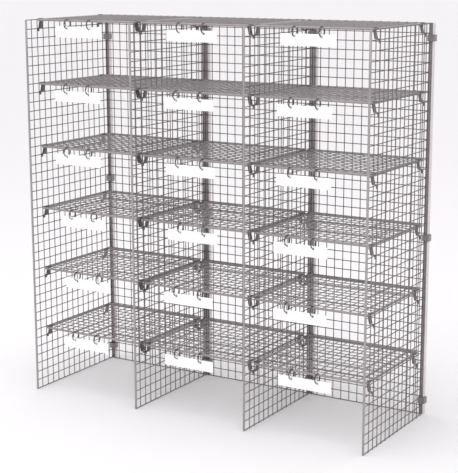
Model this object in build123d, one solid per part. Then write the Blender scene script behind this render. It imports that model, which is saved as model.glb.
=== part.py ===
from build123d import *
import math
import os

# Pigeon-hole rack of welded wire mesh: three bays of six hooked-on mesh shelves, each with a
# blank label plate on two rings.  Millimetres.  X is across the front, -Y is the front, Z is up.
# The origin is the middle of the footprint, on the floor.

# mesh
MESH_PITCH = 25.4          # centre to centre of the wires, both ways
WIRE_D = 2.5               # mesh wire
WELD_SET_DOWN = 0.2        # how far welded wires sink into each other
WIRE_STUB = 1.5            # wire left past the last crossing

# carcass
TIERS = 6
CELLS_PER_TIER = 7
BAYS = 3
SHELF_CELLS_WIDE = 13
SHELF_SIDE_GAP = 10.4      # side rod of a shelf to the middle of the panel beside it
PANEL_CELLS_DEEP = 14
REAR_ROD_MARGIN = 14.4     # last upright wire of a panel to its rear rod
EDGE_ROD_D = 6.0           # front upright of every panel
REAR_ROD_D = 4.0           # rear upright of every panel
BACK_EDGE_INSET = 7.0      # edge wire of a back panel to the middle of the panel beside it
BACK_CELLS_WIDE = 13
FIT_GAP = 0.1              # between pieces that rest or clamp on each other

# posts and clips
POST_SHEET = 1.5
POST_DEPTH = 12.0
POST_BEND_R = 2.5          # outside radius of the post's bends
CORNER_POST_W = 13.0
CORNER_POST_OVERHANG = 3.8  # corner post past the middle of the end panel
DIVIDER_POST_W = 23.0
CLIP_SHEET = 1.5
CLIP_SIDE_GAP = 1.0        # clip leg to the side of the post
CLIP_OUTER_GAP = 3.5       # the same at the outer side of a corner post
CLIP_WIRE_GAP = 0.3        # clip leg to a back wire beside it
CLIP_HEIGHT = 17.0
CLIP_LIP = 8.0
CLIP_BEND_R = 2.5
CLIP_CELLS = (1.5, 19.5, 40.5)        # clip heights, in mesh cells from the floor
LEFT_CLIP_CELLS = (1.5, 22.5, 39.5)   # the same for the left corner post

# shelves
SHELF_ROD_D = 6.0
SHELF_SETBACK = 36.0       # front rod of a shelf behind the front upright of the panels
SHELF_CELLS_DEEP = 12.5
SHELF_DROP = 0.0           # shelf frame below the level panel wire of its tier
SHELF_CORNER_R = 5.0       # bend radius of the frame, at the middle of the rod

# hooks
HOOK_SHEET = 1.5
HOOK_WIDTH = 18.0
HOOK_TIP_DROP = 9.0
HOOK_LEAN = 12.0           # degrees that the strip leans towards the panel on its way down
FRONT_HOOK_CELL = 2        # mesh wire of the panel that the front hooks straddle
REAR_HOOK_CELL = 13
HOOK_WIRE_GAP = 0.75       # hook foot to the upright wire beside it
HOOK_TIP_GAP = 0.3         # hook tip to the panel wire that it hangs on

# label plates and rings
LABEL_W = 156.0
LABEL_H = 30.0
LABEL_T = 1.2
LABEL_CORNER_R = 2.0
LABEL_HOLE_D = 6.0
LABEL_TOP_MARGIN = 8.4     # middle of a hole to the top edge
RING_PITCH_CELLS = 3
RING_D = 28.0
RING_T = 1.2
RING_W = 4.2
RING_ROD_GAP = 0.2
RING_HOLE_GAP = 0.05
# label middle from the middle of its bay, in mesh cells, from the lowest tier up
LABEL_SHIFT_CELLS = {
    "left": (-0.85, -0.36, -0.85, -1.33, -1.17, -0.85),
    "middle": (-0.84, -0.85, -0.25, -0.44, -0.61, -0.16),
    "right": (-0.55, -1.16, -1.16, -0.85, -0.82, -0.46),
}

# worked-out sizes
WIRE_R = WIRE_D / 2
LAYER_STEP = WIRE_D - WELD_SET_DOWN            # between the middles of two crossing wires
BAY_PITCH = SHELF_CELLS_WIDE * MESH_PITCH + 2 * SHELF_SIDE_GAP
LEVELS = TIERS * CELLS_PER_TIER
TOP_Z = LEVELS * MESH_PITCH + WIRE_D           # top of the panels
REAR_ROD_Y = PANEL_CELLS_DEEP * MESH_PITCH + REAR_ROD_MARGIN
POST_FRONT_Y = REAR_ROD_Y + REAR_ROD_D / 2 + FIT_GAP
BACK_UPRIGHT_Y = POST_FRONT_Y - FIT_GAP - WIRE_R
BACK_LEVEL_Y = BACK_UPRIGHT_Y - LAYER_STEP
CLIP_FRONT_Y = REAR_ROD_Y - REAR_ROD_D / 2 - FIT_GAP - CLIP_SHEET
CLIP_REAR_Y = POST_FRONT_Y + POST_DEPTH + FIT_GAP + CLIP_SHEET
FRONT_Y = (EDGE_ROD_D / 2 - CLIP_REAR_Y) / 2   # middle of the front uprights, from the origin
RING_DROP = RING_D / 2 - RING_T - SHELF_ROD_D / 2 - RING_ROD_GAP  # ring middle below the rod
STRIP_CHORD = math.sqrt((LABEL_HOLE_D / 2) ** 2 - (RING_W / 2) ** 2)
HOLE_DROP = RING_DROP + RING_D / 2 - RING_T + STRIP_CHORD - RING_HOLE_GAP
BAY_NAMES = ("left", "middle", "right")


def panel_x(index):
    """Middle of upright panel 0 to BAYS, from the left."""
    return (index - BAYS / 2) * BAY_PITCH


def level_z(level):
    """Middle of the level panel wire that is so many cells up."""
    return level * MESH_PITCH + WIRE_R


def rod_x(x0, x1, y, z, diameter):
    """Round rod along X; y counts back from the front uprights."""
    rod = Cylinder(diameter / 2, x1 - x0, rotation=(0, 90, 0))
    return Pos((x0 + x1) / 2, FRONT_Y + y, z) * rod


def rod_y(x, y0, y1, z, diameter):
    rod = Cylinder(diameter / 2, y1 - y0, rotation=(90, 0, 0))
    return Pos(x, FRONT_Y + (y0 + y1) / 2, z) * rod


def rod_z(x, y, z0, z1, diameter):
    return Pos(x, FRONT_Y + y, (z0 + z1) / 2) * Cylinder(diameter / 2, z1 - z0)


def save(name, solids):
    flat = [solid for shape in solids for solid in shape.solids()]
    export_step(Compound(children=flat), f"parts/{name}.step")


def upright_panel(index):
    """Side or divider panel: front rod, rear rod, upright wires and level wires."""
    x = panel_x(index)
    outward = -1 if index < BAYS / 2 else 1
    wires = [rod_z(x, 0, 0, TOP_Z, EDGE_ROD_D)]
    wires.append(rod_z(x, REAR_ROD_Y, 0, TOP_Z, REAR_ROD_D))
    for cell in range(1, PANEL_CELLS_DEEP + 1):
        wires.append(rod_z(x + outward * LAYER_STEP, cell * MESH_PITCH, 0, TOP_Z, WIRE_D))
    start = EDGE_ROD_D / 2 - WELD_SET_DOWN
    end = REAR_ROD_Y - REAR_ROD_D / 2 + WELD_SET_DOWN
    for level in range(LEVELS + 1):
        wires.append(rod_y(x, start, end, level_z(level), WIRE_D))
    return wires


def back_wire_offsets():
    """Upright wires of a back panel, from the middle of the upright panel at its left."""
    inner = [cell * MESH_PITCH for cell in range(1, BACK_CELLS_WIDE + 1)]
    return [BACK_EDGE_INSET, *inner, BAY_PITCH - BACK_EDGE_INSET]


def back_panel(bay):
    """Mesh across the back of one bay."""
    x0 = panel_x(bay)
    wires = [rod_z(x0 + place, BACK_UPRIGHT_Y, 0, TOP_Z, WIRE_D) for place in back_wire_offsets()]
    start = x0 + BACK_EDGE_INSET - WIRE_STUB
    end = x0 + BAY_PITCH - BACK_EDGE_INSET + WIRE_STUB
    for level in range(LEVELS + 1):
        wires.append(rod_x(start, end, BACK_LEVEL_Y, level_z(level), WIRE_D))
    return wires


def channel(x0, x1, y0, y1, sheet, bend_r, lip, z0, z1):
    """Sheet bent to a channel with its web at y0 and legs back to y1, with lips if lip is set."""
    outer = Pos((x0 + x1) / 2, FRONT_Y + (y0 + y1) / 2) * Rectangle(x1 - x0, y1 - y0)
    inner_w = x1 - x0 - 2 * sheet
    rear = y1 - sheet if lip else y1
    inner = Pos((x0 + x1) / 2, FRONT_Y + (y0 + sheet + rear) / 2) * Rectangle(inner_w, rear - y0 - sheet)
    bends = outer.vertices() if lip else outer.vertices().sort_by(Axis.Y)[:2]
    outer = fillet(bends, bend_r)
    inner_bends = inner.vertices() if lip else inner.vertices().sort_by(Axis.Y)[:2]
    inner = fillet(inner_bends, bend_r - sheet)
    section = outer - inner
    if lip:
        mouth_w = x1 - x0 - 2 * lip
        section -= Pos((x0 + x1) / 2, FRONT_Y + y1 - sheet) * Rectangle(mouth_w, 4 * sheet)
    return Pos(0, 0, z0) * extrude(section, z1 - z0)


def post_sides(index):
    """Left and right side of the post behind panel 0 to BAYS."""
    x = panel_x(index)
    if index == 0:
        return x - CORNER_POST_OVERHANG, x - CORNER_POST_OVERHANG + CORNER_POST_W
    if index == BAYS:
        return x + CORNER_POST_OVERHANG - CORNER_POST_W, x + CORNER_POST_OVERHANG
    return x - DIVIDER_POST_W / 2, x + DIVIDER_POST_W / 2


def rear_post(index):
    x0, x1 = post_sides(index)
    rear = POST_FRONT_Y + POST_DEPTH
    return [channel(x0, x1, POST_FRONT_Y, rear, POST_SHEET, POST_BEND_R, 0, 0, TOP_Z)]


def back_wire_places():
    """Middles of all the upright wires across the back."""
    return [panel_x(bay) + place for bay in range(BAYS) for place in back_wire_offsets()]


def clip_side(post_side, outward, side_gap):
    """Outer face of a clip leg beside a post, moved out past any back wire in its way."""
    leg = post_side + outward * (side_gap + CLIP_SHEET / 2)
    near = CLIP_SHEET / 2 + WIRE_R + CLIP_WIRE_GAP
    for wire in sorted(back_wire_places(), key=lambda place: place * outward):
        if abs(wire - leg) < near:
            leg = wire + outward * near
    return leg + outward * CLIP_SHEET / 2


def post_clips():
    """Spring clips that snap round each post and the panel rods in front of it."""
    clips = []
    for index in range(BAYS + 1):
        post_x0, post_x1 = post_sides(index)
        x0 = clip_side(post_x0, -1, CLIP_OUTER_GAP if index == 0 else CLIP_SIDE_GAP)
        x1 = clip_side(post_x1, 1, CLIP_OUTER_GAP if index == BAYS else CLIP_SIDE_GAP)
        for cell in (LEFT_CLIP_CELLS if index == 0 else CLIP_CELLS):
            z0 = level_z(cell) - CLIP_HEIGHT / 2
            clips.append(channel(x0, x1, CLIP_FRONT_Y, CLIP_REAR_Y, CLIP_SHEET,
                                 CLIP_BEND_R, CLIP_LIP, z0, z0 + CLIP_HEIGHT))
    return clips


def shelf_z(tier):
    """Middle of the frame rod of a shelf."""
    return level_z(tier * CELLS_PER_TIER) - SHELF_DROP


def shelf(bay, tier):
    """Bent rod frame with cross wires let in level with it and long wires on top of them."""
    z = shelf_z(tier)
    x0 = panel_x(bay) + SHELF_SIDE_GAP
    x1 = panel_x(bay + 1) - SHELF_SIDE_GAP
    y0 = SHELF_SETBACK
    y1 = SHELF_SETBACK + SHELF_CELLS_DEEP * MESH_PITCH
    rod_r = SHELF_ROD_D / 2
    outline = RectangleRounded(x1 - x0, y1 - y0, SHELF_CORNER_R).wire()
    start = Plane(outline @ 0, z_dir=outline % 0)
    frame = sweep(start * Circle(rod_r), path=outline)
    pieces = [Pos((x0 + x1) / 2, FRONT_Y + (y0 + y1) / 2, z) * frame]
    for cell in range(1, math.ceil(SHELF_CELLS_DEEP)):
        y = y0 + cell * MESH_PITCH
        pieces.append(rod_x(x0 + rod_r - WELD_SET_DOWN, x1 - rod_r + WELD_SET_DOWN, y, z, WIRE_D))
    seat = math.sqrt(rod_r ** 2 - LAYER_STEP ** 2) - WELD_SET_DOWN
    for cell in range(1, SHELF_CELLS_WIDE):
        pieces.append(rod_y(x0 + cell * MESH_PITCH, y0 + seat, y1 - seat, z + LAYER_STEP, WIRE_D))
    return pieces


def sheet_along_y(section, y0, width):
    """Flat section, drawn across and up, pulled out backwards from y0."""
    rear = Plane((0, FRONT_Y + y0 + width, 0), x_dir=(1, 0, 0), z_dir=(0, -1, 0))
    return rear * extrude(section, width)


def block(x0, x1, z0, z1):
    return Pos((x0 + x1) / 2, (z0 + z1) / 2) * Rectangle(abs(x1 - x0), z1 - z0)


def shelf_hook(bay, tier, side, cell):
    """Sheet hook: curls over the shelf's side rod and leans back to hang on the panel wire.

    side is -1 at the left end of the shelf and 1 at the right end.  The foot takes the rear
    half of the width at the left and the front half at the right, so the hooks of two
    neighbouring shelves pass each other on the divider between them.
    """
    panel = panel_x(bay) if side < 0 else panel_x(bay + 1)
    rod = panel - side * SHELF_SIDE_GAP
    rod_r = SHELF_ROD_D / 2
    curl_r = rod_r + HOOK_SHEET
    drop = shelf_z(tier) - level_z(tier * CELLS_PER_TIER - 1) - WIRE_R - FIT_GAP
    curl = Circle(curl_r) - Circle(rod_r) - block(-curl_r, curl_r, -curl_r, 0)
    strip = curl + block(-side * rod_r, -side * curl_r, -2 * drop, 0)
    strip = Rot(0, 0, side * HOOK_LEAN) * strip
    strip -= block(-2 * drop, 2 * drop, -4 * drop, -drop)
    lean = math.radians(HOOK_LEAN)
    strip_mid = (rod_r + HOOK_SHEET / 2) / math.cos(lean) - (drop - HOOK_SHEET / 2) * math.tan(lean)
    tip_x0 = side * (SHELF_SIDE_GAP + WIRE_R + HOOK_TIP_GAP)
    tip_x1 = tip_x0 + side * HOOK_SHEET
    foot = block(tip_x1, -side * strip_mid, -drop, HOOK_SHEET - drop)
    foot += block(tip_x0, tip_x1, -drop - HOOK_TIP_DROP, HOOK_SHEET - drop)
    y0 = cell * MESH_PITCH - HOOK_WIDTH / 2
    foot_w = HOOK_WIDTH / 2 - WIRE_R - HOOK_WIRE_GAP
    foot_y0 = y0 + HOOK_WIDTH - foot_w if side < 0 else y0
    hook = sheet_along_y(strip, y0, HOOK_WIDTH) + sheet_along_y(foot, foot_y0, foot_w)
    return Pos(rod, 0, shelf_z(tier)) * hook


def hooks(cell):
    """Every hook that hangs on the panels in line with one upright wire."""
    return [
        shelf_hook(bay, tier, side, cell)
        for tier in range(1, TIERS + 1)
        for bay in range(BAYS)
        for side in (-1, 1)
    ]


def label_x(bay, tier):
    """Middle of a label plate."""
    shift = LABEL_SHIFT_CELLS[BAY_NAMES[bay]][tier - 1]
    return (panel_x(bay) + panel_x(bay + 1)) / 2 + shift * MESH_PITCH


def ring_places(bay, tier):
    reach = RING_PITCH_CELLS * MESH_PITCH / 2
    return label_x(bay, tier) - reach, label_x(bay, tier) + reach


def label_rings(bay, tier):
    """Two flat rings that hang on the front rod of a shelf."""
    z = shelf_z(tier) - RING_DROP
    ring = Cylinder(RING_D / 2, RING_W) - Cylinder(RING_D / 2 - RING_T, RING_W)
    upright = Rotation(0, 90, 0) * ring
    return [Pos(x, FRONT_Y + SHELF_SETBACK, z) * upright for x in ring_places(bay, tier)]


def label_plate(bay, tier):
    """Blank plate that hangs from its two rings, square to them."""
    hole_z = shelf_z(tier) - HOLE_DROP
    middle_z = hole_z + LABEL_TOP_MARGIN - LABEL_H / 2
    face = Pos(label_x(bay, tier), middle_z) * RectangleRounded(LABEL_W, LABEL_H, LABEL_CORNER_R)
    for x in ring_places(bay, tier):
        face -= Pos(x, hole_z) * Circle(LABEL_HOLE_D / 2)
    return [sheet_along_y(face, SHELF_SETBACK - LABEL_T / 2, LABEL_T)]


def main():
    os.makedirs("parts", exist_ok=True)
    panels = ("side_panel_left", "divider_panel_left", "divider_panel_right", "side_panel_right")
    posts = ("corner_post_left", "divider_post_left", "divider_post_right", "corner_post_right")
    for index in range(BAYS + 1):
        save(panels[index], upright_panel(index))
        save(posts[index], rear_post(index))
    for bay in range(BAYS):
        save(f"back_panel_{BAY_NAMES[bay]}", back_panel(bay))
    for tier in range(1, TIERS + 1):
        save(f"shelves_tier_{tier}", [piece for bay in range(BAYS) for piece in shelf(bay, tier)])
    save("front_shelf_hooks", hooks(FRONT_HOOK_CELL))
    save("rear_shelf_hooks", hooks(REAR_HOOK_CELL))
    save("post_clips", post_clips())
    for bay in range(BAYS):
        for tier in range(1, TIERS + 1):
            place = f"{BAY_NAMES[bay]}_{tier}"
            save(f"label_plate_{place}", label_plate(bay, tier))
            save(f"label_rings_{place}", label_rings(bay, tier))


main()
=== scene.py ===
"""Finish and detail of a wire mesh pigeonhole rack: wires, welds, sheet parts, rings, plates."""
import math
import random

import bpy
import numpy as np
from bpy.props import FloatProperty, FloatVectorProperty, IntProperty, PointerProperty
from bpy.types import Operator, Panel, PropertyGroup
from mathutils import Euler, Matrix, Vector


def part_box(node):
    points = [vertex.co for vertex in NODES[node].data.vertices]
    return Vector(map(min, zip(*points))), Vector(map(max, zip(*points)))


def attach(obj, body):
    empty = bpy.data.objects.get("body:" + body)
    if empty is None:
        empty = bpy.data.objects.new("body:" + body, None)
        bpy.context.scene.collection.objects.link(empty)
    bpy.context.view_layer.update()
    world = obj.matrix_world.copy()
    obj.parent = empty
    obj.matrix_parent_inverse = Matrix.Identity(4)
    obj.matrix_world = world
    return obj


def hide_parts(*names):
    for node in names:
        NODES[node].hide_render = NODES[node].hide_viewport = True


bl_info = {
    "name": "Wire Mesh Pigeonhole Rack",
    "version": (1, 0, 0),
    "blender": (4, 5, 0),
    "location": "View3D > Sidebar > Mesh Rack",
    "description": "Builds the wires, sheet parts, rings and plates of a wire mesh rack",
    "category": "Add Mesh",
}

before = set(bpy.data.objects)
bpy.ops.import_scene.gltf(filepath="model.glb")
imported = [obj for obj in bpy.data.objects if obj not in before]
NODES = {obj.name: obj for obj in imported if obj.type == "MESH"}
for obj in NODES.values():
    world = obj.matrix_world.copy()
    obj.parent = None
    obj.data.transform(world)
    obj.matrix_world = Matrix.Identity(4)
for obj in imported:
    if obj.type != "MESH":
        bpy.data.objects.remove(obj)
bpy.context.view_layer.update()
MM = 0.001
STATION_STEP = 0.09           # between the cross-sections of a wire
BURR = 0.0006                 # longest rounding of a cut wire's end
SWAY_RATES = (17.0, 23.0)     # waves of the sway, in radians a metre
SHELF_CORNER = 0.005          # bend of a shelf's frame, at the middle of the rod
RING_THICK = 0.0012
RING_BEVEL = 0.00018
RING_START = math.radians(200)
FLOOR_REACH = 120.0
FLOOR_GAP = 0.0002            # keeps the floor clear of the wires' ends
RACK = "rack"
UPRIGHT_PANELS = (
    "side_panel_left", "divider_panel_left", "divider_panel_right", "side_panel_right")
BACK_PANELS = ("back_panel_left", "back_panel_middle", "back_panel_right")
POSTS = (
    "corner_post_left", "divider_post_left", "divider_post_right", "corner_post_right")
BAYS = ("left", "middle", "right")
TIERS = range(1, 7)
SHELVES = tuple(f"shelves_tier_{tier}" for tier in TIERS)
HOOKS = ("front_shelf_hooks", "rear_shelf_hooks")
PLACES = tuple(f"{bay}_{tier}" for bay in BAYS for tier in TIERS)


# shader building

class Sock:
    """A shader socket or a number that takes part in Python arithmetic."""

    def __init__(self, graph, source):
        self.graph = graph
        self.source = source

    def _math(self, operation, *values):
        return self.graph.node("ShaderNodeMath", {"operation": operation}, dict(enumerate(values)))

    def __add__(self, other):
        return self._math("ADD", self, other)

    __radd__ = __add__

    def __sub__(self, other):
        return self._math("SUBTRACT", self, other)

    def __rsub__(self, other):
        return self._math("SUBTRACT", other, self)

    def __mul__(self, other):
        return self._math("MULTIPLY", self, other)

    __rmul__ = __mul__

    def clamped(self):
        return self.graph.node("ShaderNodeClamp", {}, {"Value": self})


class Graph:
    """Node tree of one material."""

    def __init__(self, name):
        self.material = bpy.data.materials.new(name)
        self.material.use_nodes = True
        self.tree = self.material.node_tree
        self.tree.nodes.clear()

    def node(self, kind, settings=None, inputs=None, output=0):
        made = self.tree.nodes.new(kind)
        for key, value in (settings or {}).items():
            setattr(made, key, value)
        for key, value in (inputs or {}).items():
            self._feed(made.inputs[key], value)
        return Sock(self, made.outputs[output]) if made.outputs else None

    def _feed(self, socket, value):
        if isinstance(value, Sock):
            self.tree.links.new(value.source, socket)
        elif socket.type == "RGBA" and len(value) == 3:
            socket.default_value = (*value, 1.0)
        else:
            socket.default_value = value

    def place(self, stretch=(1.0, 1.0, 1.0)):
        """Object coordinates in metres, scaled along each axis."""
        coords = self.node("ShaderNodeTexCoord", output="Object")
        return self.node("ShaderNodeVectorMath", {"operation": "MULTIPLY"}, {0: coords, 1: stretch})

    def noise(self, size, detail=3.0, rough=0.55, stretch=(1.0, 1.0, 1.0)):
        """Noise whose blotches are about size metres across."""
        return self.node("ShaderNodeTexNoise", {}, {
            "Vector": self.place(stretch), "Scale": 1.0 / size,
            "Detail": detail, "Roughness": rough})

    def spangle(self, size):
        """Random colour for each zinc crystal."""
        return self.node("ShaderNodeTexVoronoi", {"feature": "F1"}, {
            "Vector": self.place(), "Scale": 1.0 / size}, output="Color")

    def grey(self, colour):
        return self.node("ShaderNodeRGBToBW", {}, {"Color": colour})

    def mix(self, factor, first, second):
        """Mix of two colours."""
        return self.node("ShaderNodeMix", {"data_type": "RGBA", "blend_type": "MIX"}, {
            0: factor, 6: first, 7: second}, output=2)

    def bump(self, height, distance, strength):
        return self.node("ShaderNodeBump", {}, {
            "Height": height, "Distance": distance, "Strength": strength})

    def finish(self, **inputs):
        """Principled shader with the given sockets, by name."""
        named = {key.replace("_", " "): value for key, value in inputs.items()}
        shader = self.node("ShaderNodeBsdfPrincipled", {}, named)
        self.node("ShaderNodeOutputMaterial", {}, {"Surface": shader})
        return self.material


def tint(colour, factor):
    return tuple(min(1.0, channel * factor) for channel in colour)


def zinc(name, colour, roughness, metallic, spangle_size, drawn_along):
    """Zinc coat: faint crystals, cloudy dulling, fine lines from drawing or rolling."""
    g = Graph(name)
    clouds = g.noise(0.035, 4.0)
    grains = g.grey(g.spangle(spangle_size))
    lines = g.noise(0.0012, 2.0, 0.6, drawn_along)
    dull = (clouds * 0.65 + grains * 0.25 + lines * 0.2 - 0.25).clamped()
    base = g.mix(dull, tint(colour, 0.8), tint(colour, 1.2))
    stain = (g.noise(0.09, 5.0, 0.65) - 0.52) * 3.0
    base = g.mix(stain.clamped() * 0.35, base, tint(colour, 0.62))
    rough = roughness - 0.08 + clouds * 0.14 + lines * 0.06
    height = grains * 0.35 + lines * 0.5 + clouds * 0.3
    return g.finish(Base_Color=base, Roughness=rough, Metallic=metallic,
                    Normal=g.bump(height, 0.00012, 0.5))


def plate_white(name, colour):
    """Matt white plate: faint orange peel, a little handling dust."""
    g = Graph(name)
    peel = g.noise(0.0011, 2.0, 0.5)
    dust = (g.noise(0.03, 5.0, 0.6) - 0.5) * 2.2
    base = g.mix(dust.clamped() * 0.25, colour, tint(colour, 0.93))
    rough = 0.5 + peel * 0.12
    return g.finish(Base_Color=base, Roughness=rough, Metallic=0.0, Specular_IOR_Level=0.4,
                    Normal=g.bump(peel, 0.00004, 0.35))


def nickel(name, colour):
    """Nickel-plated spring strip: bright with fine lengthwise scratches."""
    g = Graph(name)
    haze = g.noise(0.006, 3.0)
    scratch = g.noise(0.0006, 2.0, 0.5, (0.25, 1.0, 1.0))
    dull = (haze * 0.8 + scratch * 0.3 - 0.1).clamped()
    base = g.mix(dull, tint(colour, 0.82), tint(colour, 1.12))
    return g.finish(Base_Color=base, Roughness=0.24 + haze * 0.14, Metallic=0.9,
                    Normal=g.bump(scratch, 0.00004, 0.4))


def studio_floor(name, colour):
    """Matt floor with a barely seen unevenness."""
    g = Graph(name)
    base = g.mix(g.noise(0.9, 2.0), tint(colour, 0.99), colour)
    return g.finish(Base_Color=base, Roughness=0.85, Metallic=0.0, Specular_IOR_Level=0.1)


# mesh building

def basis(axis):
    """The other two axis numbers, in turning order."""
    return (axis + 1) % 3, (axis + 2) % 3


class Builder:
    """Collects points and faces, then makes one smooth-shaded piece of them."""

    def __init__(self):
        self.points = []
        self.faces = []
        self.count = 0

    def add(self, points, faces):
        self.points.append(np.asarray(points, dtype=float))
        self.faces.extend(tuple(index + self.count for index in face) for face in faces)
        self.count += len(points)

    def rings(self, rings, closed_path=False):
        """Skin over rings that have the same number of points each."""
        sides = len(rings[0])
        total = len(rings)
        faces = []
        for ring in range(total if closed_path else total - 1):
            here = ring * sides
            there = ((ring + 1) % total) * sides
            for side in range(sides):
                after = (side + 1) % sides
                faces.append((here + side, here + after, there + after, there + side))
        if not closed_path:
            faces.append(tuple(reversed(range(sides))))
            faces.append(tuple(range((total - 1) * sides, total * sides)))
        self.add(np.concatenate(rings), faces)

    def piece(self, name, materials, face_material=None, smooth=True):
        mesh = bpy.data.meshes.new(name)
        mesh.from_pydata(np.concatenate(self.points).tolist(), [], self.faces)
        for material in materials:
            mesh.materials.append(material)
        mesh.polygons.foreach_set("use_smooth", [smooth] * len(mesh.polygons))
        if face_material is not None:
            mesh.polygons.foreach_set("material_index", face_material)
        mesh.update()
        made = bpy.data.objects.new(name, mesh)
        bpy.context.scene.collection.objects.link(made)
        return made


def solids(node):
    """Low and high corner of every separate solid of a node, as rows of six numbers."""
    mesh = NODES[node].data
    points = np.empty(len(mesh.vertices) * 3)
    mesh.vertices.foreach_get("co", points)
    points = points.reshape(-1, 3)
    _, same = np.unique(np.round(points, 6), axis=0, return_inverse=True)
    same = same.ravel()
    edges = np.empty(len(mesh.edges) * 2, dtype=int)
    mesh.edges.foreach_get("vertices", edges)
    edges = same[edges.reshape(-1, 2)]
    label = np.arange(same.max() + 1)
    while True:
        low = np.minimum(label[edges[:, 0]], label[edges[:, 1]])
        before = label.copy()
        np.minimum.at(label, edges[:, 0], low)
        np.minimum.at(label, edges[:, 1], low)
        label = label[label]
        if np.array_equal(before, label):
            break
    groups = label[same]
    boxes = []
    for group in np.unique(groups):
        own = points[groups == group]
        boxes.append(np.concatenate([own.min(axis=0), own.max(axis=0)]))
    return boxes


class Wire:
    """Straight round wire, read from the box of its solid."""

    def __init__(self, box):
        low, high = box[:3], box[3:]
        size = high - low
        self.axis = int(np.argmax(size))
        self.middle = (low + high) / 2
        self.low = low[self.axis]
        self.high = high[self.axis]
        self.radius = float(np.delete(size, self.axis).min()) / 2


def round_ring(centre, axis, radius, sides):
    """Circle of points about an axis."""
    first, second = basis(axis)
    turn = np.linspace(0.0, 2 * math.pi, sides, endpoint=False)
    ring = np.tile(np.asarray(centre, dtype=float), (sides, 1))
    ring[:, first] += radius * np.cos(turn)
    ring[:, second] += radius * np.sin(turn)
    return ring


def add_wire(builder, wire, sides, sway, rng):
    """Wire with burred cut ends and a slight sway along its length."""
    length = wire.high - wire.low
    steps = max(2, round(length / STATION_STEP))
    burr = min(0.35 * wire.radius, BURR)
    stations = [(0.0, 0.8), (burr, 1.0)]
    stations += [(length * step / steps, 1.0) for step in range(1, steps)]
    stations += [(length - burr, 1.0), (length, 0.8)]
    first, second = basis(wire.axis)
    phase = (rng.uniform(0, 6.28), rng.uniform(0, 6.28))
    pull = (rng.uniform(0.5, 1.0) * sway, rng.uniform(0.5, 1.0) * sway)
    rings = []
    for along, scale in stations:
        centre = wire.middle.copy()
        centre[wire.axis] = wire.low + along
        fade = math.sin(math.pi * along / length)
        centre[first] += pull[0] * fade * math.sin(along * SWAY_RATES[0] + phase[0])
        centre[second] += pull[1] * fade * math.sin(along * SWAY_RATES[1] + phase[1])
        rings.append(round_ring(centre, wire.axis, wire.radius * scale, sides))
    builder.rings(rings)


def add_bead(builder, centre, radii, axis, sides):
    """Small bead of weld turned about an axis, kept above the floor."""
    first, second = basis(axis)
    turn = np.linspace(0.0, 2 * math.pi, sides, endpoint=False)
    points = np.tile(np.asarray(centre, dtype=float), (sides + 2, 1))
    points[:sides, first] += radii[first] * np.cos(turn)
    points[:sides, second] += radii[second] * np.sin(turn)
    points[sides, axis] += radii[axis]
    points[sides + 1, axis] -= radii[axis]
    points[:, 2] = np.maximum(points[:, 2], 0.0)
    faces = []
    for side in range(sides):
        after = (side + 1) % sides
        faces.append((side, after, sides))
        faces.append((after, side, sides + 1))
    builder.add(points, faces)


def crossing(one, other):
    """Where two wires lie on each other: middle of the contact and its axis, or None."""
    if one.axis == other.axis:
        return None
    across = 3 - one.axis - other.axis
    gap = other.middle[across] - one.middle[across]
    reach = one.radius + other.radius
    if not 0.3 * reach < abs(gap) < 1.05 * reach:
        return None
    if not one.low - MM < other.middle[one.axis] < one.high + MM:
        return None
    if not other.low - MM < one.middle[other.axis] < other.high + MM:
        return None
    contact = np.empty(3)
    contact[one.axis] = other.middle[one.axis]
    contact[other.axis] = one.middle[other.axis]
    contact[across] = one.middle[across] + gap * one.radius / reach
    return contact, across


def add_welds(builder, wires, size, rng):
    """Beads where the wires cross; add_collar makes the collars where they end on a rod."""
    for place, one in enumerate(wires):
        for other in wires[place + 1:]:
            met = crossing(one, other)
            if met is None:
                continue
            contact, across = met
            thin = min(one.radius, other.radius)
            spread = thin * size * rng.uniform(0.9, 1.1)
            radii = [spread, spread, spread]
            radii[across] = 0.55 * thin
            add_bead(builder, contact, radii, across, 8)


def add_collar(builder, wire, end, size):
    """Weld around the end of a wire."""
    centre = wire.middle.copy()
    centre[wire.axis] = end
    radii = [wire.radius * size] * 3
    radii[wire.axis] = wire.radius * 1.1
    add_bead(builder, centre, radii, wire.axis, 10)


def placed(piece, body, slot, *nodes):
    """Tells the frame what a piece moves with and stands for; the slot argument is not used."""
    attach(piece, body)
    if nodes:
        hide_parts(*nodes)
    return piece


def dress(node, material):
    """Gives a CAD part that keeps its own shape a better finish."""
    slots = NODES[node].data.materials
    if len(slots) == 0:
        slots.append(material)
    for index in range(len(slots)):
        slots[index] = material


# user values

class WireValues(PropertyGroup):
    sway: FloatProperty(name="Sway", description="Sideways sway of a mesh wire between its ends",
                        default=0.00022, min=0.0, unit="LENGTH")
    weld_size: FloatProperty(name="Weld Size", description="Weld width over wire width",
                             default=1.6, min=1.0, subtype="FACTOR")
    wire_sides: IntProperty(name="Wire Sides", description="Flat sides of a mesh wire",
                            default=10, min=6)
    rod_sides: IntProperty(name="Rod Sides", description="Flat sides of an edge rod",
                           default=18, min=8)
    mesh_colour: FloatVectorProperty(name="Mesh Colour", description="Zinc on the panel wires",
                                     default=(0.235, 0.207, 0.215), subtype="COLOR", size=3)
    rod_colour: FloatVectorProperty(name="Rod Colour", description="Zinc on the front uprights",
                                    default=(0.40, 0.37, 0.38), subtype="COLOR", size=3)
    shelf_colour: FloatVectorProperty(name="Shelf Colour", description="Zinc on the shelves",
                                      default=(0.35, 0.32, 0.328), subtype="COLOR", size=3)


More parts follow.
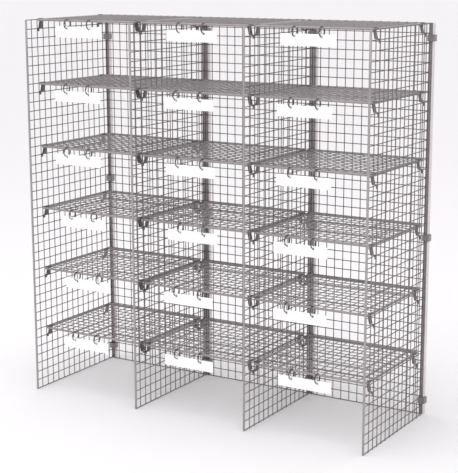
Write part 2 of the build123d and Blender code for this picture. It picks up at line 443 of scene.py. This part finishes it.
class SheetValues(PropertyGroup):
    sheet: FloatProperty(name="Sheet", description="Thickness of the hook sheet",
                         default=0.0015, unit="LENGTH")
    rod_radius: FloatProperty(name="Rod Radius", description="Shelf rod that the hooks curl over",
                              default=0.003, unit="LENGTH")
    bend_radius: FloatProperty(name="Bend Radius",
                               description="Bends of a hook, middle of the sheet",
                               default=0.00165, unit="LENGTH")
    lean: FloatProperty(name="Lean", description="Lean of a hook's strip towards the panel",
                        default=math.radians(12.0), subtype="ANGLE")
    tip_drop: FloatProperty(name="Tip Drop", description="Hook tip below its foot",
                            default=0.009, unit="LENGTH")
    foot_width: FloatProperty(name="Foot Width", description="Width of a hook's foot",
                              default=0.007, unit="LENGTH")
    strip_end: FloatProperty(name="Strip End", description="Wide strip's end above the foot",
                             default=0.0004, unit="LENGTH")
    # painted shade: the hooks' colour is darkened to stand in for the shade they hang in, darker
    # than the zinc itself
    hook_painted_shade_colour: FloatVectorProperty(name="Hook Painted Shade Colour", description="Dark zinc on the hooks",
                                     default=(0.17, 0.155, 0.16), subtype="COLOR", size=3)
    # painted light: the posts' colour is raised to stand in for the highlights on their channels,
    # lighter than the zinc itself
    post_painted_light_colour: FloatVectorProperty(name="Post Painted Light Colour", description="Zinc on the rear posts",
                                     default=(0.74, 0.70, 0.71), subtype="COLOR", size=3)
    clip_colour: FloatVectorProperty(name="Clip Colour", description="Zinc on the post clips",
                                     default=(0.28, 0.255, 0.262), subtype="COLOR", size=3)


class LabelValues(PropertyGroup):
    edge: FloatProperty(name="Edge", description="Rounding of a plate's edges",
                        default=0.0002, unit="LENGTH")
    corner: FloatProperty(name="Corner", description="Corner radius of a plate",
                          default=0.002, unit="LENGTH")
    hole_radius: FloatProperty(name="Hole Radius", description="Holes for the rings",
                               default=0.003, unit="LENGTH")
    hole_drop: FloatProperty(name="Hole Drop", description="Middle of a hole below the top edge",
                             default=0.0084, unit="LENGTH")
    ring_steps: IntProperty(name="Ring Steps", description="Steps in one turn of a ring",
                            default=40)
    plate_colour: FloatVectorProperty(name="Plate Colour", description="Blank plates",
                                      default=(0.985, 0.985, 0.99), subtype="COLOR", size=3)
    # painted shade: the rings' colour is a dark tone that stands in for shade and dark reflections,
    # far darker than nickel itself
    ring_painted_shade_colour: FloatVectorProperty(name="Ring Painted Shade Colour", description="Nickel on the rings",
                                     default=(0.13, 0.12, 0.125), subtype="COLOR", size=3)


class StageValues(PropertyGroup):
    lens: FloatProperty(name="Lens", description="Focal length on a 36 mm sensor",
                        default=102.76)
    azimuth: FloatProperty(name="Azimuth", description="Camera heading",
                           default=math.radians(31.35), subtype="ANGLE")
    elevation: FloatProperty(name="Elevation", description="Camera looks down by",
                             default=math.radians(11.768), subtype="ANGLE")
    roll: FloatProperty(name="Roll", description="Camera roll", default=math.radians(-0.16),
                        subtype="ANGLE")
    camera_place: FloatVectorProperty(name="Camera Place", description="Camera position",
                                      default=(1.9221, -3.1319, 1.2428),
                                      subtype="XYZ", unit="LENGTH")
    floor_colour: FloatVectorProperty(name="Floor Colour", description="Studio floor",
                                      default=(0.925, 0.905, 0.925), subtype="COLOR", size=3)
    world_light: FloatProperty(name="World Light", description="Strength of the white surroundings",
                               default=1.0, min=0.0)


# operators

class RackOperator:
    """What the operators have in common."""
    bl_options = {"REGISTER", "UNDO"}

    def execute(self, context):
        self.build(context.scene)
        return {"FINISHED"}


class RACK_OT_upright_panels(RackOperator, Operator):
    """Side and divider panels of welded mesh"""
    bl_idname = "rack.upright_panels"
    bl_label = "Upright Panels"

    def build(self, scene):
        values = scene.rack_wires
        rng = random.Random(11)
        mesh_zinc = zinc("panel_zinc", values.mesh_colour, roughness=0.42, metallic=0.55,
                         spangle_size=0.004, drawn_along=(1.0, 0.08, 0.08))
        rod_zinc = zinc("rod_zinc", values.rod_colour, roughness=0.34, metallic=0.55,
                        spangle_size=0.005, drawn_along=(1.0, 1.0, 0.05))
        for node in UPRIGHT_PANELS:
            wires = sorted((Wire(box) for box in solids(node)), key=lambda wire: -wire.radius)
            builder = Builder()
            front = wires[0]
            add_wire(builder, front, values.rod_sides, 0.0, rng)
            rod_faces = len(builder.faces)
            for wire in wires[1:]:
                add_wire(builder, wire, values.wire_sides, values.sway, rng)
                if wire.axis == 1:
                    add_collar(builder, wire, wire.low, values.weld_size)
                    add_collar(builder, wire, wire.high, values.weld_size)
            add_welds(builder, wires[1:], values.weld_size, rng)
            faces = [1] * rod_faces + [0] * (len(builder.faces) - rod_faces)
            piece = builder.piece(f"{node}_wires", [mesh_zinc, rod_zinc], faces)
            placed(piece, RACK, "mesh_wire", node)


class RACK_OT_back_panels(RackOperator, Operator):
    """Welded mesh across the back of each bay"""
    bl_idname = "rack.back_panels"
    bl_label = "Back Panels"

    def build(self, scene):
        values = scene.rack_wires
        rng = random.Random(12)
        coat = zinc("back_zinc", values.mesh_colour, roughness=0.42, metallic=0.55,
                    spangle_size=0.004, drawn_along=(0.08, 1.0, 0.08))
        for node in BACK_PANELS:
            wires = [Wire(box) for box in solids(node)]
            builder = Builder()
            for wire in wires:
                add_wire(builder, wire, values.wire_sides, values.sway, rng)
            add_welds(builder, wires, values.weld_size, rng)
            placed(builder.piece(f"{node}_wires", [coat]), RACK, "mesh_wire", node)


def frame_rings(box, rod_radius, corner, sides, rng):
    """Rings of a round rod bent to a closed rectangle, with a weld swell at its back."""
    low, high = box[:3], box[3:]
    z = high[2] - rod_radius if high[2] - low[2] < 2.2 * rod_radius else low[2] + rod_radius
    x0, x1 = low[0] + rod_radius, high[0] - rod_radius
    y0, y1 = low[1] + rod_radius, high[1] - rod_radius
    path = []
    for (cx, cy), start in (((x1 - corner, y0 + corner), -90), ((x1 - corner, y1 - corner), 0),
                            ((x0 + corner, y1 - corner), 90), ((x0 + corner, y0 + corner), 180)):
        for step in range(7):
            turn = math.radians(start + 15 * step)
            path.append(((cx + corner * math.cos(turn), cy + corner * math.sin(turn)),
                         (math.cos(turn), math.sin(turn)), 1.0))
        if start == 0:
            middle = (x0 + x1) / 2 + rng.uniform(-0.04, 0.04)
            for offset, scale in ((0.004, 1.0), (0.0012, 1.1), (-0.0012, 1.1), (-0.004, 1.0)):
                path.append(((middle + offset, y1), (0.0, 1.0), scale))
    turn = np.linspace(0.0, 2 * math.pi, sides, endpoint=False)
    rings = []
    for (x, y), (nx, ny), scale in path:
        out = rod_radius * scale * np.cos(turn)
        up = rod_radius * scale * np.sin(turn)
        rings.append(np.stack([x + nx * out, y + ny * out, z + up], axis=1))
    return rings


class RACK_OT_shelves(RackOperator, Operator):
    """Mesh shelves: bent rod frame, cross wires and long wires"""
    bl_idname = "rack.shelves"
    bl_label = "Shelves"

    def build(self, scene):
        values = scene.rack_wires
        sheet = scene.rack_sheet
        rng = random.Random(13)
        coat = zinc("shelf_zinc", values.shelf_colour, roughness=0.38, metallic=0.55,
                    spangle_size=0.004, drawn_along=(0.08, 0.08, 1.0))
        for node in SHELVES:
            builder = Builder()
            bays = []
            wires = []
            for box in solids(node):
                size = box[3:] - box[:3]
                if min(size[0], size[1]) > 0.05:
                    bays.append(box)
                else:
                    wires.append(Wire(box))
            for box in bays:
                rings = frame_rings(box, sheet.rod_radius, SHELF_CORNER, values.rod_sides, rng)
                builder.rings(rings, closed_path=True)
                own = [wire for wire in wires if box[0] < wire.middle[0] < box[3]]
                for wire in own:
                    add_wire(builder, wire, values.wire_sides, values.sway, rng)
                    add_collar(builder, wire, wire.low, values.weld_size)
                    add_collar(builder, wire, wire.high, values.weld_size)
                add_welds(builder, own, values.weld_size, rng)
            placed(builder.piece(f"{node}_wires", [coat]), RACK, "shelf_wire", node)


class RACK_OT_posts(RackOperator, Operator):
    """Finish of the bent sheet posts at the back"""
    bl_idname = "rack.posts"
    bl_label = "Rear Posts"

    def build(self, scene):
        # painted light: the post colour lightens the posts' zinc to stand in for their highlights
        coat = zinc("post_zinc_painted_light", scene.rack_sheet.post_painted_light_colour, roughness=0.4, metallic=0.6,
                    spangle_size=0.007, drawn_along=(1.0, 1.0, 0.02))
        for node in POSTS:
            dress(node, coat)


class RACK_OT_clips(RackOperator, Operator):
    """Finish of the spring clips on the posts"""
    bl_idname = "rack.clips"
    bl_label = "Post Clips"

    def build(self, scene):
        coat = zinc("clip_zinc", scene.rack_sheet.clip_colour, roughness=0.36, metallic=0.6,
                    spangle_size=0.004, drawn_along=(0.1, 1.0, 1.0))
        dress("post_clips", coat)


def hook_path(values, drop, across, tip):
    """Middle line of a hook's sheet, as points towards the panel and up from the rod.

    Also gives the number of the point where the narrow foot starts.
    """
    curl = values.rod_radius + values.sheet / 2
    bend = values.bend_radius
    lean = values.lean
    foot = values.sheet / 2 - drop
    points = []
    for step in range(13):
        turn = lean + math.pi * step / 12
        points.append((curl * math.cos(turn), curl * math.sin(turn)))
    along = (-curl * math.sin(lean) - foot - bend * (1 - math.sin(lean))) / math.cos(lean)
    for part in (0.12, 0.5, 0.88, 1.0):
        points.append((-curl * math.cos(lean) + part * along * math.sin(lean),
                       -curl * math.sin(lean) - part * along * math.cos(lean)))
    narrow = len(points) - 1
    middle = points[-1][0] + bend * math.cos(lean)
    for step in range(1, 6):
        turn = math.pi + lean + (math.pi / 2 - lean) * step / 5
        points.append((middle + bend * math.cos(turn), foot + bend + bend * math.sin(turn)))
    for step in range(6):
        turn = math.pi / 2 * (1 - step / 5)
        points.append((across - bend + bend * math.cos(turn), foot - bend + bend * math.sin(turn)))
    points.append((across, foot - tip))
    return points, narrow


def evaluated(mesh, modifiers):
    """The mesh with modifiers applied: a list of (kind, settings)."""
    holder = bpy.data.objects.new("shaping", mesh)
    bpy.context.scene.collection.objects.link(holder)
    for kind, settings in modifiers:
        modifier = holder.modifiers.new(kind.lower(), kind)
        for key, value in settings.items():
            setattr(modifier, key, value)
    graph = bpy.context.evaluated_depsgraph_get()
    shaped = bpy.data.meshes.new_from_object(holder.evaluated_get(graph))
    points = np.array([tuple(vertex.co) for vertex in shaped.vertices])
    faces = [tuple(polygon.vertices) for polygon in shaped.polygons]
    bpy.data.objects.remove(holder)
    bpy.data.meshes.remove(mesh)
    bpy.data.meshes.remove(shaped)
    return points, faces


class RACK_OT_hooks(RackOperator, Operator):
    """Sheet hooks that carry the shelves on the panel wires"""
    bl_idname = "rack.hooks"
    bl_label = "Shelf Hooks"

    def build(self, scene):
        sheet = scene.rack_sheet
        # painted shade: the hook colour darkens the hooks' zinc to stand in for shade
        coat = zinc("hook_zinc_painted_shade", sheet.hook_painted_shade_colour, roughness=0.34, metallic=0.6,
                    spangle_size=0.005, drawn_along=(1.0, 1.0, 0.15))
        boxes = solids(HOOKS[0])
        low, high = boxes[0][:3], boxes[0][3:]
        curl = sheet.rod_radius + sheet.sheet
        width = high[1] - low[1]
        for node in HOOKS:
            builder = Builder()
            shapes = {}
            for box in solids(node):
                low, high = box[:3], box[3:]
                rod_z = high[2] - curl
                side = -1 if self.hangs_left(low, high) else 1
                if side not in shapes:
                    shapes[side] = self.shape(sheet, low, high, rod_z, side, width)
                points, faces = shapes[side]
                rod_x = high[0] - curl if side < 0 else low[0] + curl
                moved = points + np.array([rod_x, low[1], rod_z])
                builder.add(moved, faces)
            placed(builder.piece(f"{node}_sheet", [coat]), RACK, "hook_sheet", node)

    @staticmethod
    def hangs_left(low, high):
        """Whether a hook hangs on the panel at the left of its shelf."""
        middle = (low[0] + high[0]) / 2
        boxes = [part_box(panel) for panel in UPRIGHT_PANELS]
        panels = [float((corners[0][0] + corners[1][0]) / 2) for corners in boxes]
        nearest = min(panels, key=lambda place: abs(place - middle))
        return middle > nearest

    @staticmethod
    def shape(sheet, low, high, rod_z, side, width):
        """Sheet of one hook: wide strip with a narrow foot that is cut and bent out of it."""
        across = (high[0] - low[0]) - sheet.rod_radius - 1.5 * sheet.sheet
        drop = rod_z - low[2] - sheet.tip_drop
        path, narrow = hook_path(sheet, drop, across, sheet.tip_drop + sheet.sheet / 2)
        foot = sheet.foot_width
        columns = (0.0, foot, width) if side > 0 else (0.0, width - foot, width)
        foot_column = 0 if side > 0 else 1
        points = [(side * u, y, z) for u, z in path for y in columns]
        faces = []
        for row in range(len(path) - 1):
            for column in range(2):
                if row < narrow or column == foot_column:
                    a = row * 3 + column
                    faces.append((a, a + 1, a + 4, a + 3))
        lean = math.tan(sheet.lean)
        u, z = path[narrow]
        end = sheet.strip_end - drop
        a = narrow * 3 + 1 - foot_column
        b = len(points)
        points += [(side * (u + (z - end) * lean), points[index][1], end) for index in (a, a + 1)]
        faces.append((a, a + 1, b + 1, b))
        used = sorted({index for face in faces for index in face})
        renumber = {index: place for place, index in enumerate(used)}
        mesh = bpy.data.meshes.new("hook")
        mesh.from_pydata([points[index] for index in used], [],
                         [tuple(renumber[index] for index in face) for face in faces])
        return evaluated(mesh, [
            ("SOLIDIFY", {"thickness": sheet.sheet, "offset": 0.0}),
            ("BEVEL", {"width": 0.00025, "segments": 2, "limit_method": "ANGLE",
                       "angle_limit": math.radians(50)})])


class RACK_OT_label_plates(RackOperator, Operator):
    """Blank label plates with two ring holes"""
    bl_idname = "rack.label_plates"
    bl_label = "Label Plates"

    def build(self, scene):
        values = scene.rack_labels
        coat = plate_white("plate_white", values.plate_colour)
        for place in PLACES:
            node = f"label_plate_{place}"
            low, high = (np.array(corner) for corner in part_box(node))
            rings = solids(f"label_rings_{place}")
            builder = Builder()
            builder.add(*self.shape(values, low, high, rings))
            piece = builder.piece(f"label_plate_{place}_board", [coat], smooth=False)
            placed(piece, f"label_{place}", "label_plate", node)

    @staticmethod
    def shape(values, low, high, rings):
        """Rounded plate with a hole for each ring."""
        curve = bpy.data.curves.new("plate", "CURVE")
        curve.dimensions = "2D"
        curve.fill_mode = "BOTH"
        curve.extrude = (high[1] - low[1]) / 2 - values.edge
        curve.bevel_depth = values.edge
        curve.bevel_resolution = 1
        curve.offset = -values.edge
        outline = []
        r = values.corner
        for cx, cz, start in ((high[0] - r, high[2] - r, 0), (low[0] + r, high[2] - r, 90),
                              (low[0] + r, low[2] + r, 180), (high[0] - r, low[2] + r, 270)):
            for step in range(6):
                turn = math.radians(start + 18 * step)
                outline.append((cx + r * math.cos(turn), cz + r * math.sin(turn)))
        loops = [outline]
        hole_z = high[2] - values.hole_drop
        for box in rings:
            cx = (box[0] + box[3]) / 2
            turns = np.linspace(0, 2 * math.pi, 24, endpoint=False)
            loops.append([(cx + values.hole_radius * math.cos(-turn),
                           hole_z + values.hole_radius * math.sin(-turn)) for turn in turns])
        for loop in loops:
            spline = curve.splines.new("POLY")
            spline.points.add(len(loop) - 1)
            for point, (x, z) in zip(spline.points, loop):
                point.co = (x, z, 0.0, 1.0)
            spline.use_cyclic_u = True
        holder = bpy.data.objects.new("plate", curve)
        bpy.context.scene.collection.objects.link(holder)
        graph = bpy.context.evaluated_depsgraph_get()
        mesh = bpy.data.meshes.new_from_object(holder.evaluated_get(graph))
        points = np.array([tuple(vertex.co) for vertex in mesh.vertices])
        faces = [tuple(polygon.vertices) for polygon in mesh.polygons]
        bpy.data.objects.remove(holder)
        bpy.data.curves.remove(curve)
        bpy.data.meshes.remove(mesh)
        middle = (low[1] + high[1]) / 2
        turned = np.stack([points[:, 0], middle - points[:, 2], points[:, 1]], axis=1)
        return turned, faces


class RACK_OT_split_rings(RackOperator, Operator):
    """Split rings of two turns that carry the plates"""
    bl_idname = "rack.split_rings"
    bl_label = "Split Rings"

    def build(self, scene):
        values = scene.rack_labels
        # painted shade: the ring colour darkens the nickel to stand in for shade and dark
        # reflections
        coat = nickel("ring_nickel_painted_shade", values.ring_painted_shade_colour)
        for place in PLACES:
            node = f"label_rings_{place}"
            builder = Builder()
            for box in solids(node):
                self.add_ring(builder, box, values)
            placed(builder.piece(f"{node}_coils", [coat]), f"label_{place}", "split_ring", node)

    @staticmethod
    def add_ring(builder, box, values):
        """Flat strip wound twice, with a step where the turns change over."""
        middle = (box[:3] + box[3:]) / 2
        outer = (box[5] - box[2]) / 2
        width = (box[3] - box[0]) / 2
        mid_radius = outer - RING_THICK / 2
        bevel = RING_BEVEL
        half_w = width / 2 - 0.00004
        half_t = RING_THICK / 2
        section = ((-half_w + bevel, -half_t), (half_w - bevel, -half_t), (half_w, -half_t + bevel),
                   (half_w, half_t - bevel), (half_w - bevel, half_t), (-half_w + bevel, half_t),
                   (-half_w, half_t - bevel), (-half_w, -half_t + bevel))
        steps = values.ring_steps
        rings = []
        for step in range(2 * steps - 1):
            turn = RING_START + 2 * math.pi * step / steps
            part = (step / steps - 0.93) / 0.14
            shift = min(1.0, max(0.0, part))
            shift = shift * shift * (3 - 2 * shift)
            x = middle[0] + (shift - 0.5) * width
            tip = 0.75 if step in (0, 2 * steps - 2) else 1.0
            ring = []
            for a, b in section:
                radius = mid_radius + b * tip
                ring.append((x + a * tip, middle[1] + radius * math.cos(turn),
                             middle[2] + radius * math.sin(turn)))
            rings.append(np.array(ring))
        builder.rings(rings)


class RACK_OT_stage(RackOperator, Operator):
    """Floor, soft light and camera"""
    bl_idname = "rack.stage"
    bl_label = "Stage"

    def build(self, scene):
        values = scene.rack_stage
        self.floor(values)
        self.lights(scene, values)
        self.camera(scene, values)
        scene.view_settings.view_transform = "Standard"

    @staticmethod
    def floor(values):
        """Floor that runs out past what any view shows."""
        builder = Builder()
        cells = 6
        line = np.linspace(-FLOOR_REACH, FLOOR_REACH, cells + 1)
        points = [(x, y, 0.0) for y in line for x in line]
        faces = []
        for row in range(cells):
            for column in range(cells):
                a = row * (cells + 1) + column
                faces.append((a, a + 1, a + cells + 2, a + cells + 1))
        builder.add(points, faces)
        floor = builder.piece("studio_floor", [studio_floor("floor_paint", values.floor_colour)])
        floor.location.z = -FLOOR_GAP

    @staticmethod
    def lights(scene, values):
        world = bpy.data.worlds.new("white_surroundings")
        scene.world = world
        world.use_nodes = True
        background = world.node_tree.nodes["Background"]
        background.inputs["Color"].default_value = (1.0, 1.0, 1.0, 1.0)
        background.inputs["Strength"].default_value = values.world_light
        for name, place, energy, size in (("overhead_panel", (-0.6, -0.9, 3.2), 22.0, 2.6),
                                          ("front_panel", (2.6, -3.0, 2.2), 20.0, 2.2)):
            data = bpy.data.lights.new(name, "AREA")
            data.energy = energy
            data.size = size
            lamp = bpy.data.objects.new(name, data)
            scene.collection.objects.link(lamp)
            lamp.location = place
            aim = Vector((0.0, 0.0, 0.5)) - Vector(place)
            lamp.rotation_euler = aim.to_track_quat("-Z", "Y").to_euler()

    @staticmethod
    def camera(scene, values):
        data = bpy.data.cameras.new("rack_camera")
        data.lens = values.lens
        data.sensor_width = 36.0
        data.clip_end = 400.0
        camera = bpy.data.objects.new("rack_camera", data)
        scene.collection.objects.link(camera)
        camera.location = values.camera_place
        heading = Euler((math.pi / 2 - values.elevation, 0.0, values.azimuth), "XYZ")
        turned = heading.to_matrix() @ Matrix.Rotation(values.roll, 3, "Z")
        camera.rotation_euler = turned.to_euler()
        scene.camera = camera


OPERATORS = (
    RACK_OT_stage, RACK_OT_upright_panels, RACK_OT_back_panels, RACK_OT_shelves, RACK_OT_posts,
    RACK_OT_clips, RACK_OT_hooks, RACK_OT_label_plates, RACK_OT_split_rings,
)


class RACK_PT_pieces(Panel):
    """Lists the pieces that can be made"""
    bl_idname = "RACK_PT_pieces"
    bl_label = "Mesh Rack"
    bl_space_type = "VIEW_3D"
    bl_region_type = "UI"
    bl_category = "Mesh Rack"

    def draw(self, context):
        for operator in OPERATORS:
            self.layout.operator(operator.bl_idname)


VALUES = {
    "rack_wires": WireValues, "rack_sheet": SheetValues,
    "rack_labels": LabelValues, "rack_stage": StageValues,
}


def register():
    for group in VALUES.values():
        bpy.utils.register_class(group)
    for name, group in VALUES.items():
        setattr(bpy.types.Scene, name, PointerProperty(type=group))
    for operator in OPERATORS:
        bpy.utils.register_class(operator)
    bpy.utils.register_class(RACK_PT_pieces)


def unregister():
    bpy.utils.unregister_class(RACK_PT_pieces)
    for operator in reversed(OPERATORS):
        bpy.utils.unregister_class(operator)
    for name, group in VALUES.items():
        delattr(bpy.types.Scene, name)
        bpy.utils.unregister_class(group)


def main():
    register()
    for operator in OPERATORS:
        group, _, action = operator.bl_idname.partition(".")
        getattr(getattr(bpy.ops, group), action)()
    bpy.context.view_layer.update()


if __name__ == "__main__":
    main()
